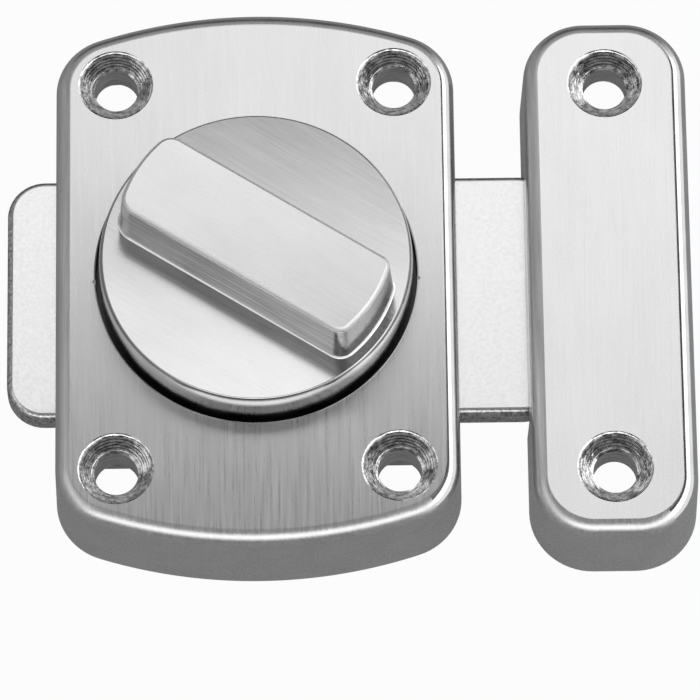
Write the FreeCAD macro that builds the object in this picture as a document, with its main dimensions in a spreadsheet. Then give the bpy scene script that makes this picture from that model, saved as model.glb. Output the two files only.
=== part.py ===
# Surface-mounted door latch: a turning knob with a grip bar drives a flat bolt into a separate strike.
# Millimetres. The origin is on the door, at the knob's axis. +X points to the strike, +Z out of the door.
import FreeCAD, Part
import math
import os
import Sketcher

doc = FreeCAD.newDocument("DoorLatch")
sheet = doc.addObject("Spreadsheet::Sheet", "dims")

sizes = {
    # Housing, a die-cast box that is open at the back
    "housingWidth": 48.2,
    "housingHeight": 69.2,
    "endArcRadius": 60.0,
    "cornerRadius": 7.5,
    "castDraft": 1.2,
    "faceFillet": 1.9,
    "castWall": 2.2,
    "frontWall": 2.8,
    "cupWall": 3.0,
    "webThickness": 1.4,
    "recessDepth": 3.0,
    # Fixing holes for the door screws
    "screwSpanX": 33.4,
    "screwSpanY": 49.6,
    "screwHole": 5.2,
    "sinkDiameter": 8.7,
    "sinkAngle": 90.0,
    "screwBossRadius": 5.6,
    "housingBossFoot": 6.5,
    # Knob
    "knobProud": 5.05,
    "knobRimRound": 0.5,
    "knobFaceWall": 2.4,
    "knobRimWall": 2.2,
    "hubBore": 10.0,
    "hubWall": 2.4,
    "barLength": 33.8,
    "barEndMargin": 1.7,
    "barWidth": 12.1,
    "barHeight": 7.05,
    "barDraft": 4.5,
    "barTopRound": 0.75,
    "barFootRound": 0.3,
    "barSoftCorner": 2.0,
    "barSharpCorner": 1.4,
    "restAngle": -32.8,
    # Crank, drive pin and hub screw
    "knobTurn": 90.0,
    "crankRadius": 10.5,
    "crankHubRadius": 7.0,
    "crankTipRadius": 3.8,
    "crankThickness": 2.0,
    "tangSide": 5.0,
    "pinDiameter": 4.0,
    "pinSpigot": 2.6,
    "hubScrewHead": 7.6,
    "hubScrewHeadHeight": 0.65,
    "hubScrewShank": 2.5,
    "hubScrewLength": 7.0,
    "waveWasherRadius": 8.4,
    "waveWasherWall": 0.36,
    # Bolt
    "boltTail": 32.0,
    "boltNose": 33.9,
    "boltWidth": 30.9,
    "boltThickness": 3.6,
    "boltCornerRadius": 4.5,
    "boltEdgeRound": 0.6,
    "strokeShare": 0.925,
    # Back plate and its screws
    "plateThickness": 1.0,
    "plateMargin": 2.1,
    "plateCornerRadius": 2.0,
    "postSpanX": 22.0,
    "postRadius": 1.9,
    "plateScrewHead": 3.4,
    "plateScrewShank": 2.0,
    "plateScrewLength": 5.0,
    # Strike
    "strikeGap": 8.0,
    "strikeWidth": 19.9,
    "strikeHeight": 66.8,
    "strikeDrop": 0.5,
    "strikePlay": 0.6,
    "strikeBossFoot": 4.4,
    "strikeBackBore": 5.9,
    "strikeBackBoreTop": 6.7,
    # Clearances
    "slideClearance": 0.3,
    "knobClearance": 0.5,
    "bearingClearance": 0.08,
    "pinClearance": 0.35,
    "plateClearance": 0.4,
    "fitClearance": 0.05,
    "washerSpace": 0.4,
}
for row, (alias, number) in enumerate(sizes.items(), start=1):
    sheet.set("A%d" % row, alias)
    sheet.set("B%d" % row, str(number))
    sheet.setAlias("B%d" % row, alias)
doc.recompute()

# Heights above the door, from the back plate up to the grip bar
boltBottom = "(dims.plateThickness + dims.slideClearance)"
boltTop = "(%s + dims.boltThickness)" % boltBottom
slotRoof = "(%s + dims.slideClearance)" % boltTop
crankBottom = slotRoof
crankTop = "(%s + dims.crankThickness)" % crankBottom
webBottom = "(%s + dims.washerSpace)" % crankTop
recessFloor = "(%s + dims.webThickness)" % webBottom
housingDepth = "(%s + dims.recessDepth)" % recessFloor
hollowRoof = "(%s - dims.frontWall)" % housingDepth
discBottom = "(%s + dims.slideClearance)" % recessFloor
discTop = "(%s + dims.knobProud)" % housingDepth
screwSeat = "(%s + dims.hubScrewHeadHeight + dims.fitClearance)" % crankBottom

# Widths shared by pieces that fit each other
knobRadius = "(dims.barLength / 2 + dims.barEndMargin)"
recessRadius = "(%s + dims.knobClearance)" % knobRadius
hubRadius = "(dims.hubBore / 2 - dims.bearingClearance)"
slotWidth = "(dims.boltWidth + 2 * dims.slideClearance)"
postOffsetY = "(dims.boltWidth / 2 + 2 * dims.slideClearance + dims.postRadius)"
plateWidth = "(dims.housingWidth - 2 * dims.castWall - 2 * dims.plateClearance)"
plateHeight = "(2 * %s + 2 * dims.plateMargin)" % postOffsetY
pinSlotWidth = "(dims.pinDiameter + 2 * dims.pinClearance)"

# The crank stands half a turn's angle behind the bar, so mid-stroke puts the pin below the axis
crankAngle = "(dims.restAngle + dims.knobTurn / 2)"
boltMiddle = "(dims.strokeShare * dims.crankRadius * %s * pi / 180)" % crankAngle
strikeMiddle = "(dims.housingWidth / 2 + dims.strikeGap + dims.strikeWidth / 2)"


def value(formula):
    return float(sheet.evalExpression(formula))


def bind(item, prop, formula):
    item.setExpression(prop, formula)


def newBody(name):
    body = doc.addObject("PartDesign::Body", name.title().replace("_", ""))
    body.Label = name
    return body


def originPlane(body, role):
    return next(f for f in body.Origin.OriginFeatures if f.Role == role)


def newSketch(body, name, height=None, plane="XY_Plane"):
    sketch = body.newObject("Sketcher::SketchObject", name)
    sketch.AttachmentSupport = [(originPlane(body, plane), "")]
    sketch.MapMode = "FlatFace"
    if height:
        bind(sketch, "AttachmentOffset.Base.z", height)
    return sketch


def dimension(sketch, name, formula, kind, *where):
    """Adds one driving constraint and ties it to the sheet."""
    index = sketch.addConstraint(Sketcher.Constraint(kind, *where, value(formula)))
    sketch.renameConstraint(index, name)
    bind(sketch, "Constraints." + name, formula)


def place(sketch, name, geometry, point, xFormula, yFormula):
    """Holds a sketch point at a signed distance from the origin along both axes."""
    for axis, kind, formula in ((-2, "DistanceX", xFormula), (-1, "DistanceY", yFormula)):
        offset = value(formula)
        if abs(offset) < 1e-9:
            sketch.addConstraint(Sketcher.Constraint("PointOnObject", geometry, point, axis))
        elif offset > 0:
            dimension(sketch, name + kind, formula, kind, -1, 1, geometry, point)
        else:
            dimension(sketch, name + kind, "-(%s)" % formula, kind, geometry, point, -1, 1)


def drawCircle(sketch, name, radius, x="0", y="0"):
    centre = FreeCAD.Vector(value(x), value(y), 0)
    circle = sketch.addGeometry(Part.Circle(centre, FreeCAD.Vector(0, 0, 1), value(radius)))
    dimension(sketch, name + "Radius", radius, "Radius", circle)
    place(sketch, name, circle, 3, x, y)


def drawCircles(sketch, radius, spanX, spanY):
    """Four circles at the corners of a rectangle about the origin."""
    for index, (signX, signY) in enumerate(((1, 1), (-1, 1), (-1, -1), (1, -1))):
        x = "%d * %s / 2" % (signX, spanX)
        y = "%d * %s / 2" % (signY, spanY)
        drawCircle(sketch, "hole%d" % index, radius, x, y)


def drawArc(sketch, x, y, radius, start, end):
    circle = Part.Circle(FreeCAD.Vector(x, y, 0), FreeCAD.Vector(0, 0, 1), radius)
    return sketch.addGeometry(Part.ArcOfCircle(circle, math.radians(start), math.radians(end)))


def drawLine(sketch, start, end):
    return sketch.addGeometry(Part.LineSegment(FreeCAD.Vector(*start, 0), FreeCAD.Vector(*end, 0)))


def joinTangent(sketch, loop):
    """Joins each piece's end to the next piece's start with a tangent, all the way round."""
    for first, second in zip(loop, loop[1:] + loop[:1]):
        sketch.addConstraint(Sketcher.Constraint("Tangent", first, 2, second, 1))


def drawPillow(sketch, width, height, endRadius, cornerRadius):
    """A box outline with straight sides, rounded corners and ends that bulge in one long arc."""
    halfWidth = value(width) / 2
    halfHeight = value(height) / 2
    big = value(endRadius)
    small = value(cornerRadius)
    cornerX = halfWidth - small
    bigY = halfHeight - big
    cornerY = bigY + math.sqrt((big - small) ** 2 - cornerX ** 2)
    lean = math.degrees(math.atan2(cornerY - bigY, cornerX))
    loop = [
        drawLine(sketch, (halfWidth, -cornerY), (halfWidth, cornerY)),
        drawArc(sketch, cornerX, cornerY, small, 0, lean),
        drawArc(sketch, 0, bigY, big, lean, 180 - lean),
        drawArc(sketch, -cornerX, cornerY, small, 180 - lean, 180),
        drawLine(sketch, (-halfWidth, cornerY), (-halfWidth, -cornerY)),
        drawArc(sketch, -cornerX, -cornerY, small, 180, 180 + lean),
        drawArc(sketch, 0, -bigY, big, 180 + lean, 360 - lean),
        drawArc(sketch, cornerX, -cornerY, small, 360 - lean, 360),
    ]
    right, corner, top, left, bottom = loop[0], loop[1], loop[2], loop[4], loop[6]
    joinTangent(sketch, loop)
    sketch.addConstraint(Sketcher.Constraint("Vertical", right))
    sketch.addConstraint(Sketcher.Constraint("Vertical", left))
    for other in (loop[3], loop[5], loop[7]):
        sketch.addConstraint(Sketcher.Constraint("Equal", corner, other))
    sketch.addConstraint(Sketcher.Constraint("Equal", top, bottom))
    sketch.addConstraint(Sketcher.Constraint("PointOnObject", top, 3, -2))
    sketch.addConstraint(Sketcher.Constraint("PointOnObject", bottom, 3, -2))
    dimension(sketch, "cornerRadius", cornerRadius, "Radius", corner)
    dimension(sketch, "endRadius", endRadius, "Radius", top)
    dimension(sketch, "right", width + " / 2", "DistanceX", -1, 1, right, 1)
    dimension(sketch, "left", width + " / 2", "DistanceX", left, 1, -1, 1)
    dimension(sketch, "topCentre", "%s - %s / 2" % (endRadius, height), "DistanceY", top, 3, -1, 1)
    dimension(sketch, "bottomCentre", "%s - %s / 2" % (endRadius, height), "DistanceY", -1, 1, bottom, 3)


def drawRoundedBox(sketch, width, height, cornerRadius, middle="0"):
    """A rectangle with equal corner arcs, its centre on the X axis."""
    centre = value(middle)
    halfWidth = value(width) / 2
    halfHeight = value(height) / 2
    small = value(cornerRadius)
    farX, nearX = centre + halfWidth, centre - halfWidth
    loop = [
        drawLine(sketch, (farX, small - halfHeight), (farX, halfHeight - small)),
        drawArc(sketch, farX - small, halfHeight - small, small, 0, 90),
        drawLine(sketch, (farX - small, halfHeight), (nearX + small, halfHeight)),
        drawArc(sketch, nearX + small, halfHeight - small, small, 90, 180),
        drawLine(sketch, (nearX, halfHeight - small), (nearX, small - halfHeight)),
        drawArc(sketch, nearX + small, small - halfHeight, small, 180, 270),
        drawLine(sketch, (nearX + small, -halfHeight), (farX - small, -halfHeight)),
        drawArc(sketch, farX - small, small - halfHeight, small, 270, 360),
    ]
    right, corner, top, left, bottom = loop[0], loop[1], loop[2], loop[4], loop[6]
    joinTangent(sketch, loop)
    for upright in (right, left):
        sketch.addConstraint(Sketcher.Constraint("Vertical", upright))
    for level in (top, bottom):
        sketch.addConstraint(Sketcher.Constraint("Horizontal", level))
    for other in (loop[3], loop[5], loop[7]):
        sketch.addConstraint(Sketcher.Constraint("Equal", corner, other))
    dimension(sketch, "cornerRadius", cornerRadius, "Radius", corner)
    dimension(sketch, "width", width, "DistanceX", left, 1, right, 1)
    place(sketch, "farCorner", corner, 3, "%s + %s / 2 - %s" % (middle, width, cornerRadius),
          "%s / 2 - %s" % (height, cornerRadius))
    dimension(sketch, "height", height, "DistanceY", bottom, 1, top, 1)


def pad(body, name, sketch, length, draft=None):
    feature = body.newObject("PartDesign::Pad", name)
    feature.Profile = sketch
    bind(feature, "Length", length)
    if draft:
        bind(feature, "TaperAngle", draft)
    return feature


def pocket(body, name, sketch, depth=None, upward=True):
    """Cuts up from the sketch unless told to cut down, to a depth or right through."""
    feature = body.newObject("PartDesign::Pocket", name)
    feature.Profile = sketch
    feature.Reversed = upward
    if depth:
        bind(feature, "Length", depth)
    else:
        feature.Type = "ThroughAll"
    return feature


def revolve(body, name, sketch):
    feature = body.newObject("PartDesign::Revolution", name)
    feature.Profile = sketch
    feature.ReferenceAxis = (sketch, ["V_Axis"])
    return feature


def edgeNames(shape, test):
    return ["Edge%d" % (i + 1) for i, edge in enumerate(shape.Edges) if test(edge)]


def fillet(body, name, radius, test):
    """Rounds every edge of the body's last feature that the test picks."""
    doc.recompute()
    base = body.Tip
    feature = body.newObject("PartDesign::Fillet", name)
    feature.Base = (base, edgeNames(base.Shape, test))
    bind(feature, "Radius", radius)
    return feature


def lies(edge, height):
    """True for an edge that lies level at this height."""
    box = edge.BoundBox
    return abs(box.ZMin - height) < 1e-4 and abs(box.ZMax - height) < 1e-4


def drawProfile(sketch, corners):
    """A closed outline in the XZ plane through corners given as (radius, height) formulas."""
    points = [(value(x), value(z)) for x, z in corners]
    lines = [drawLine(sketch, a, b) for a, b in zip(points, points[1:] + points[:1])]
    for index, line in enumerate(lines):
        following = lines[(index + 1) % len(lines)]
        sketch.addConstraint(Sketcher.Constraint("Coincident", line, 2, following, 1))
        place(sketch, "corner%d" % index, line, 1, *corners[index])


def screwHoles(body, sketch):
    """Countersunk through holes at the circles of a sketch on the front face."""
    doc.recompute()
    feature = body.newObject("PartDesign::Hole", "ScrewHoles")
    feature.Profile = sketch
    feature.DepthType = "ThroughAll"
    bind(feature, "Diameter", "dims.screwHole")
    feature.HoleCutType = "Countersink"
    feature.HoleCutCustomValues = True
    bind(feature, "HoleCutDiameter", "dims.sinkDiameter")
    bind(feature, "HoleCutCountersinkAngle", "dims.sinkAngle")
    return feature


def boltSlot(body):
    """The passage that the bolt slides through, open to the door side."""
    sketch = newSketch(body, "BoltSlotOutline")
    reach = "dims.housingWidth"
    drawRoundedBox(sketch, reach + " * 2", slotWidth, "dims.castWall / 2")
    return pocket(body, "BoltSlot", sketch, slotRoof)


def makeHousing():
    body = newBody("housing")
    outline = newSketch(body, "Outline")
    drawPillow(outline, "dims.housingWidth", "dims.housingHeight", "dims.endArcRadius", "dims.cornerRadius")
    pad(body, "Block", outline, housingDepth, "-dims.castDraft")
    fillet(body, "FaceFillet", "dims.faceFillet", lambda edge: lies(edge, value(housingDepth)))

    hollow = newSketch(body, "HollowOutline")
    drawPillow(hollow, "(dims.housingWidth - 2 * dims.castWall)", "(dims.housingHeight - 2 * dims.castWall)",
               "(dims.endArcRadius - dims.castWall)", "(dims.cornerRadius - dims.castWall)")
    pocket(body, "Hollow", hollow, hollowRoof)

    cup = newSketch(body, "CupOutline", webBottom)
    drawCircle(cup, "cup", recessRadius + " + dims.cupWall")
    pad(body, "KnobCup", cup, "%s - %s + dims.frontWall / 4" % (hollowRoof, webBottom))

    bosses = newSketch(body, "ScrewBossOutline", "dims.housingBossFoot")
    drawCircles(bosses, "dims.screwBossRadius", "dims.screwSpanX", "dims.screwSpanY")
    pad(body, "ScrewBosses", bosses, "%s - dims.housingBossFoot + dims.frontWall / 4" % hollowRoof)

    posts = newSketch(body, "PlatePostOutline", "dims.plateThickness")
    drawCircles(posts, "dims.postRadius", "dims.postSpanX", "2 * " + postOffsetY)
    pad(body, "PlatePosts", posts, "%s - dims.plateThickness + dims.frontWall / 4" % hollowRoof)

    recess = newSketch(body, "RecessOutline", recessFloor)
    drawCircle(recess, "recess", recessRadius)
    pocket(body, "KnobRecess", recess)

    bore = newSketch(body, "HubBoreOutline")
    drawCircle(bore, "bore", "dims.hubBore / 2")
    pocket(body, "HubBore", bore)

    pilots = newSketch(body, "PlateScrewOutline")
    drawCircles(pilots, "dims.plateScrewShank / 2 + dims.fitClearance", "dims.postSpanX",
                "2 * " + postOffsetY)
    pocket(body, "PlateScrewPilots", pilots, "dims.plateScrewLength + 2 * dims.plateThickness")

    boltSlot(body)

    holes = newSketch(body, "ScrewHoleCentres", housingDepth)
    drawCircles(holes, "dims.screwHole / 2", "dims.screwSpanX", "dims.screwSpanY")
    screwHoles(body, holes)
    return body


def makeKnob():
    body = newBody("knob")
    section = newSketch(body, "Section", plane="XZ_Plane")
    coreOuter = knobRadius + " - dims.knobRimWall"
    coreInner = hubRadius + " + dims.hubWall"
    coreTop = discTop + " - dims.knobFaceWall"
    drawProfile(section, [
        ("0", crankTop),
        (hubRadius, crankTop),
        (hubRadius, discBottom),
        (coreInner, discBottom),
        (coreInner, coreTop),
        (coreOuter, coreTop),
        (coreOuter, discBottom),
        (knobRadius, discBottom),
        (knobRadius, discTop),
        ("0", discTop),
    ])
    revolve(body, "Disc", section)
    fillet(body, "RimFillet", "dims.knobRimRound",
           lambda edge: lies(edge, value(discTop)) and edge.Length > 6 * value(knobRadius))

    bar = newSketch(body, "BarOutline", discTop)
    halfWidth = value("dims.barWidth / 2")
    radius = value("dims.barLength / 2")
    lean = math.degrees(math.asin(halfWidth / radius))
    reach = radius * math.cos(math.radians(lean))
    right = drawArc(bar, 0, 0, radius, -lean, lean)
    top = drawLine(bar, (reach, halfWidth), (-reach, halfWidth))
    left = drawArc(bar, 0, 0, radius, 180 - lean, 180 + lean)
    bottom = drawLine(bar, (-reach, -halfWidth), (reach, -halfWidth))
    for first, second in ((right, top), (top, left), (left, bottom), (bottom, right)):
        bar.addConstraint(Sketcher.Constraint("Coincident", first, 2, second, 1))
    for arc in (right, left):
        bar.addConstraint(Sketcher.Constraint("Coincident", arc, 3, -1, 1))
    for level in (top, bottom):
        bar.addConstraint(Sketcher.Constraint("Horizontal", level))
    bar.addConstraint(Sketcher.Constraint("Equal", right, left))
    dimension(bar, "endRadius", "dims.barLength / 2", "Radius", right)
    dimension(bar, "topSide", "dims.barWidth / 2", "DistanceY", -1, 1, top, 1)
    dimension(bar, "bottomSide", "dims.barWidth / 2", "DistanceY", bottom, 1, -1, 1)
    pad(body, "GripBar", bar, "dims.barHeight", "-dims.barDraft")

    barTop = value(discTop + " + dims.barHeight")

    def upright(edge, side):
        box = edge.BoundBox
        return box.ZMin > value(discTop) - 0.01 and box.ZLength > value("dims.barHeight") - 0.01 \
            and side * box.Center.x > 0

    fillet(body, "SoftCorners", "dims.barSoftCorner", lambda edge: upright(edge, -1))
    fillet(body, "SharpCorners", "dims.barSharpCorner", lambda edge: upright(edge, 1))
    fillet(body, "BarTopFillet", "dims.barTopRound", lambda edge: lies(edge, barTop))
    fillet(body, "BarFootFillet", "dims.barFootRound",
           lambda edge: lies(edge, value(discTop))
           and edge.BoundBox.DiagonalLength < 2 * value("dims.barLength")
           and math.hypot(edge.BoundBox.XMax, edge.BoundBox.YMax) < value("dims.barLength") * 0.6)

    tang = newSketch(body, "TangOutline", screwSeat + " + dims.fitClearance")
    turn(tang, "-dims.knobTurn / 2", "AttachmentOffset")
    drawRoundedBox(tang, "dims.tangSide", "dims.tangSide", "dims.tangSide / 10")
    pad(body, "Tang", tang, "%s - %s" % (crankTop, screwSeat))

    bore = newSketch(body, "ScrewBoreOutline")
    drawCircle(bore, "bore", "dims.hubScrewShank / 2 + dims.fitClearance")
    pocket(body, "ScrewBore", bore, screwSeat + " + dims.hubScrewLength + dims.slideClearance")
    turn(body, "dims.restAngle")
    return body


def turn(item, angle, prop="Placement"):
    """Turns a piece or a sketch about the knob's axis by an angle tied to the sheet."""
    getattr(item, prop).Rotation = FreeCAD.Rotation(FreeCAD.Vector(0, 0, 1), 1)
    bind(item, prop + ".Rotation.Angle", angle)


def makeCrank():
    """A link plate on the knob's square tang, with the drive pin's hole at its tip."""
    body = newBody("crank_plate")
    outline = newSketch(body, "LinkOutline", crankBottom)
    big = value("dims.crankHubRadius")
    small = value("dims.crankTipRadius")
    reach = value("dims.crankRadius")
    lean = math.degrees(math.acos((big - small) / reach))
    cosine, sine = math.cos(math.radians(lean)), math.sin(math.radians(lean))
    hub = drawArc(outline, 0, 0, big, lean, 360 - lean)
    lower = drawLine(outline, (big * cosine, -big * sine), (reach + small * cosine, -small * sine))
    tip = drawArc(outline, reach, 0, small, -lean, lean)
    upper = drawLine(outline, (reach + small * cosine, small * sine), (big * cosine, big * sine))
    joinTangent(outline, [hub, lower, tip, upper])
    outline.addConstraint(Sketcher.Constraint("Coincident", hub, 3, -1, 1))
    dimension(outline, "hubRadius", "dims.crankHubRadius", "Radius", hub)
    dimension(outline, "tipRadius", "dims.crankTipRadius", "Radius", tip)
    place(outline, "tip", tip, 3, "dims.crankRadius", "0")
    pad(body, "Link", outline, "dims.crankThickness")

    square = newSketch(body, "SquareHoleOutline")
    side = "(dims.tangSide + 2 * dims.fitClearance)"
    drawRoundedBox(square, side, side, "dims.tangSide / 10")
    pocket(body, "SquareHole", square)

    seat = newSketch(body, "HeadSeatOutline")
    drawCircle(seat, "seat", "dims.hubScrewHead / 2 + dims.fitClearance")
    pocket(body, "HeadSeat", seat, screwSeat)

    spigot = newSketch(body, "SpigotHoleOutline")
    drawCircle(spigot, "spigot", "dims.pinSpigot / 2", "dims.crankRadius")
    pocket(body, "SpigotHole", spigot)
    turn(body, "dims.restAngle - dims.knobTurn / 2")
    return body


def cylinder(name, radius, height, base):
    item = doc.addObject("Part::Cylinder", name)
    bind(item, "Radius", radius)
    bind(item, "Height", height)
    bind(item, "Placement.Base.z", base)
    return item


def makeDrivePin():
    """The pin below the crank's tip, its spigot riveted flush in the plate."""
    shank = cylinder("PinShank", "dims.pinDiameter / 2", "dims.boltThickness + dims.slideClearance",
                     boltBottom)
    spigot = cylinder("PinSpigot", "dims.pinSpigot / 2", "dims.crankThickness", crankBottom)
    pin = doc.addObject("Part::Fuse", "DrivePin")
    pin.Label = "drive_pin"
    pin.Base = shank
    pin.Tool = spigot
    bind(pin, "Placement.Base.x", "dims.crankRadius * sin(%s)" % crankAngle)
    bind(pin, "Placement.Base.y", "-dims.crankRadius * cos(%s)" % crankAngle)
    return pin


def makeRing(name, label, inner, outer, thickness, base):
    ring = doc.addObject("Part::Cut", name)
    ring.Label = label
    ring.Base = cylinder(name + "Disc", outer, thickness, base)
    ring.Tool = cylinder(name + "Bore", inner, thickness, base)
    return ring


def makeHubScrew():
    """The flat-headed screw that holds the crank on the tang."""
    body = newBody("hub_screw")
    section = newSketch(body, "Section", plane="XZ_Plane")
    head = screwSeat + " - dims.hubScrewHeadHeight"
    end = screwSeat + " + dims.hubScrewLength"
    drawProfile(section, [
        ("0", head),
        ("dims.hubScrewHead / 2", head),
        ("dims.hubScrewHead / 2", screwSeat),
        ("dims.hubScrewShank / 2", screwSeat),
        ("dims.hubScrewShank / 2", end),
        ("0", end),
    ])
    revolve(body, "Turned", section)
    return body


def makeBolt():
    """A flat plate with rolled edges and a cross slot for the drive pin; the nose reaches further."""
    body = newBody("bolt")
    outline = newSketch(body, "Outline", boltBottom)
    drawRoundedBox(outline, "(dims.boltTail + dims.boltNose)", "dims.boltWidth", "dims.boltCornerRadius",
                   boltMiddle + " + (dims.boltNose - dims.boltTail) / 2")
    pad(body, "Plate", outline, "dims.boltThickness")
    fillet(body, "RolledEdges", "dims.boltEdgeRound",
           lambda edge: edge.BoundBox.ZLength < 1e-4)

    slot = newSketch(body, "PinSlotOutline")
    near = "(dims.crankRadius * cos(dims.knobTurn / 2))"
    far = "dims.crankRadius"
    radius = value(pinSlotWidth) / 2
    middle, nearY, farY = value(boltMiddle), -value(near), -value(far)
    loop = [
        drawArc(slot, middle, nearY, radius, 0, 180),
        drawLine(slot, (middle - radius, nearY), (middle - radius, farY)),
        drawArc(slot, middle, farY, radius, 180, 360),
        drawLine(slot, (middle + radius, farY), (middle + radius, nearY)),
    ]
    joinTangent(slot, loop)
    for upright in (loop[1], loop[3]):
        slot.addConstraint(Sketcher.Constraint("Vertical", upright))
    dimension(slot, "endRadius", pinSlotWidth + " / 2", "Radius", loop[0])
    place(slot, "near", loop[0], 3, boltMiddle, "-" + near)
    dimension(slot, "far", far, "DistanceY", loop[2], 3, -1, 1)
    pocket(body, "PinSlot", slot)
    return body


def makeBackPlate():
    """The sheet plate that closes the housing, with tongues that fill the foot of the bolt slots."""
    body = newBody("back_plate")
    sheetOutline = newSketch(body, "SheetOutline")
    drawRoundedBox(sheetOutline, plateWidth, plateHeight, "dims.plateCornerRadius")
    pad(body, "Sheet", sheetOutline, "dims.plateThickness")

    tongues = newSketch(body, "TongueOutline")
    tongueLength = "(dims.housingWidth - 2 * dims.slideClearance)"
    drawRoundedBox(tongues, tongueLength, "dims.boltWidth", "dims.plateCornerRadius / 2")
    pad(body, "Tongues", tongues, "dims.plateThickness")

    doc.recompute()
    holes = newSketch(body, "ScrewHoleCentres")
    drawCircles(holes, "dims.plateScrewShank / 2 + dims.fitClearance", "dims.postSpanX",
                "2 * " + postOffsetY)
    drill = body.newObject("PartDesign::Hole", "SunkHoles")
    drill.Profile = holes
    drill.Reversed = True
    drill.DepthType = "ThroughAll"
    bind(drill, "Diameter", "dims.plateScrewShank + 2 * dims.fitClearance")
    drill.HoleCutType = "Countersink"
    drill.HoleCutCustomValues = True
    bind(drill, "HoleCutDiameter", "dims.plateScrewHead + 2 * dims.fitClearance")
    bind(drill, "HoleCutCountersinkAngle", "dims.sinkAngle")
    return body


def makePlateScrew(index, signX, signY):
    body = newBody("plate_screw_%d" % index)
    section = newSketch(body, "Section", plane="XZ_Plane")
    cone = "(dims.plateScrewHead - dims.plateScrewShank) / 2"
    drawProfile(section, [
        ("0", "0"),
        ("dims.plateScrewHead / 2", "0"),
        ("dims.plateScrewShank / 2", cone),
        ("dims.plateScrewShank / 2", "dims.plateScrewLength"),
        ("0", "dims.plateScrewLength"),
    ])
    revolve(body, "Turned", section)
    bind(body, "Placement.Base.x", "%d * dims.postSpanX / 2" % signX)
    bind(body, "Placement.Base.y", "%d * %s" % (signY, postOffsetY))
    return body


def makeStrike():
    """The keeper on the frame, a narrow casting with a pocket that the bolt enters from the side."""
    body = newBody("strike")
    outline = newSketch(body, "Outline")
    drawRoundedBox(outline, "dims.strikeWidth", "dims.strikeHeight", "dims.cornerRadius")
    pad(body, "Block", outline, housingDepth, "-dims.castDraft")
    fillet(body, "FaceFillet", "dims.faceFillet", lambda edge: lies(edge, value(housingDepth)))

    hollow = newSketch(body, "HollowOutline")
    drawRoundedBox(hollow, "(dims.strikeWidth - 2 * dims.castWall)",
                   "(dims.strikeHeight - 2 * dims.castWall)",
                   "(dims.cornerRadius - dims.castWall)")
    pocket(body, "Hollow", hollow, hollowRoof)

    bosses = newSketch(body, "ScrewBossOutline", "dims.strikeBossFoot")
    for side in (1, -1):
        drawCircle(bosses, "boss%s" % ("Top" if side > 0 else "Bottom"), "dims.screwBossRadius",
                   "0", "%d * dims.screwSpanY / 2" % side)
    pad(body, "ScrewBosses", bosses, "%s - dims.strikeBossFoot + dims.frontWall / 4" % hollowRoof)

    slot = newSketch(body, "BoltSlotOutline")
    drawRoundedBox(slot, "dims.strikeWidth", "(%s + 2 * dims.strikePlay)" % slotWidth, "dims.castWall / 2",
                   "-dims.strikeWidth / 2")
    pocket(body, "BoltSlot", slot, slotRoof)

    counterbores = newSketch(body, "BackBoreOutline")
    centres = newSketch(body, "ScrewHoleCentres", housingDepth)
    for side in (1, -1):
        name = "Top" if side > 0 else "Bottom"
        offset = "%d * dims.screwSpanY / 2" % side
        drawCircle(counterbores, "back" + name, "dims.strikeBackBore / 2", "0", offset)
        drawCircle(centres, "hole" + name, "dims.screwHole / 2", "0", offset)
    pocket(body, "BackBores", counterbores, "dims.strikeBackBoreTop")
    screwHoles(body, centres)
    bind(body, "Placement.Base.x", strikeMiddle)
    bind(body, "Placement.Base.y", "-dims.strikeDrop")
    return body


parts = [makeHousing(), makeKnob(), makeCrank(), makeDrivePin()]
parts.append(makeRing("WaveWasher", "wave_washer", hubRadius + " + 2 * dims.bearingClearance",
                      "dims.waveWasherRadius", "dims.waveWasherWall",
                      "%s + (dims.washerSpace - dims.waveWasherWall) / 2" % crankTop))
parts += [makeHubScrew(), makeBolt(), makeBackPlate()]
corners = ((1, 1), (-1, 1), (-1, -1), (1, -1))
parts += [makePlateScrew(index, *signs) for index, signs in enumerate(corners, start=1)]
parts.append(makeStrike())
doc.recompute()

for item in doc.Objects:
    if "Invalid" in item.State or "Error" in item.State:
        raise RuntimeError("%s failed: %s" % (item.Name, item.State))
for item in parts:
    if item.Shape.isNull() or not item.Shape.isValid():
        raise RuntimeError("%s has no valid shape" % item.Label)

os.makedirs("parts", exist_ok=True)
for item in parts:
    item.Shape.exportStep(os.path.join("parts", item.Label + ".step"))
    print("%-16s %2d solid  %9.1f mm3" % (item.Label, len(item.Shape.Solids), item.Shape.Volume))
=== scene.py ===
import math

import bmesh
import bpy
from mathutils import Matrix, Vector


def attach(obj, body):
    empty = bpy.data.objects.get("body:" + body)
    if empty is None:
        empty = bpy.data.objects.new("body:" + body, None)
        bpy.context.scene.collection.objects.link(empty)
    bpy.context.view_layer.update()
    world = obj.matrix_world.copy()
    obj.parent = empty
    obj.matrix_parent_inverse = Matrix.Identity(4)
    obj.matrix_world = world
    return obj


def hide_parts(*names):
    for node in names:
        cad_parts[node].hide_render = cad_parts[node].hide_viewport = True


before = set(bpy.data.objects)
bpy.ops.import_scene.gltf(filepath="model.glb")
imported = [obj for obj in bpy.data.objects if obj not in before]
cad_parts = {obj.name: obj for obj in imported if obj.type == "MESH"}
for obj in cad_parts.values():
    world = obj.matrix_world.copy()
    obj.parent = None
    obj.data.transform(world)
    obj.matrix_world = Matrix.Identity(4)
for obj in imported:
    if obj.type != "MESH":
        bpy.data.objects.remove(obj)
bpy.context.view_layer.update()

mm = 0.001
# the knob's turn at rest, in degrees
restAngle = -32.8
# how far a cutter reaches past the metal, in millimetres
past = 1
# the least upward share of the normal of a flat face
flatUp = 0.99
# the sharpest edge that is shaded round, in degrees
softEdge = 32


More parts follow.
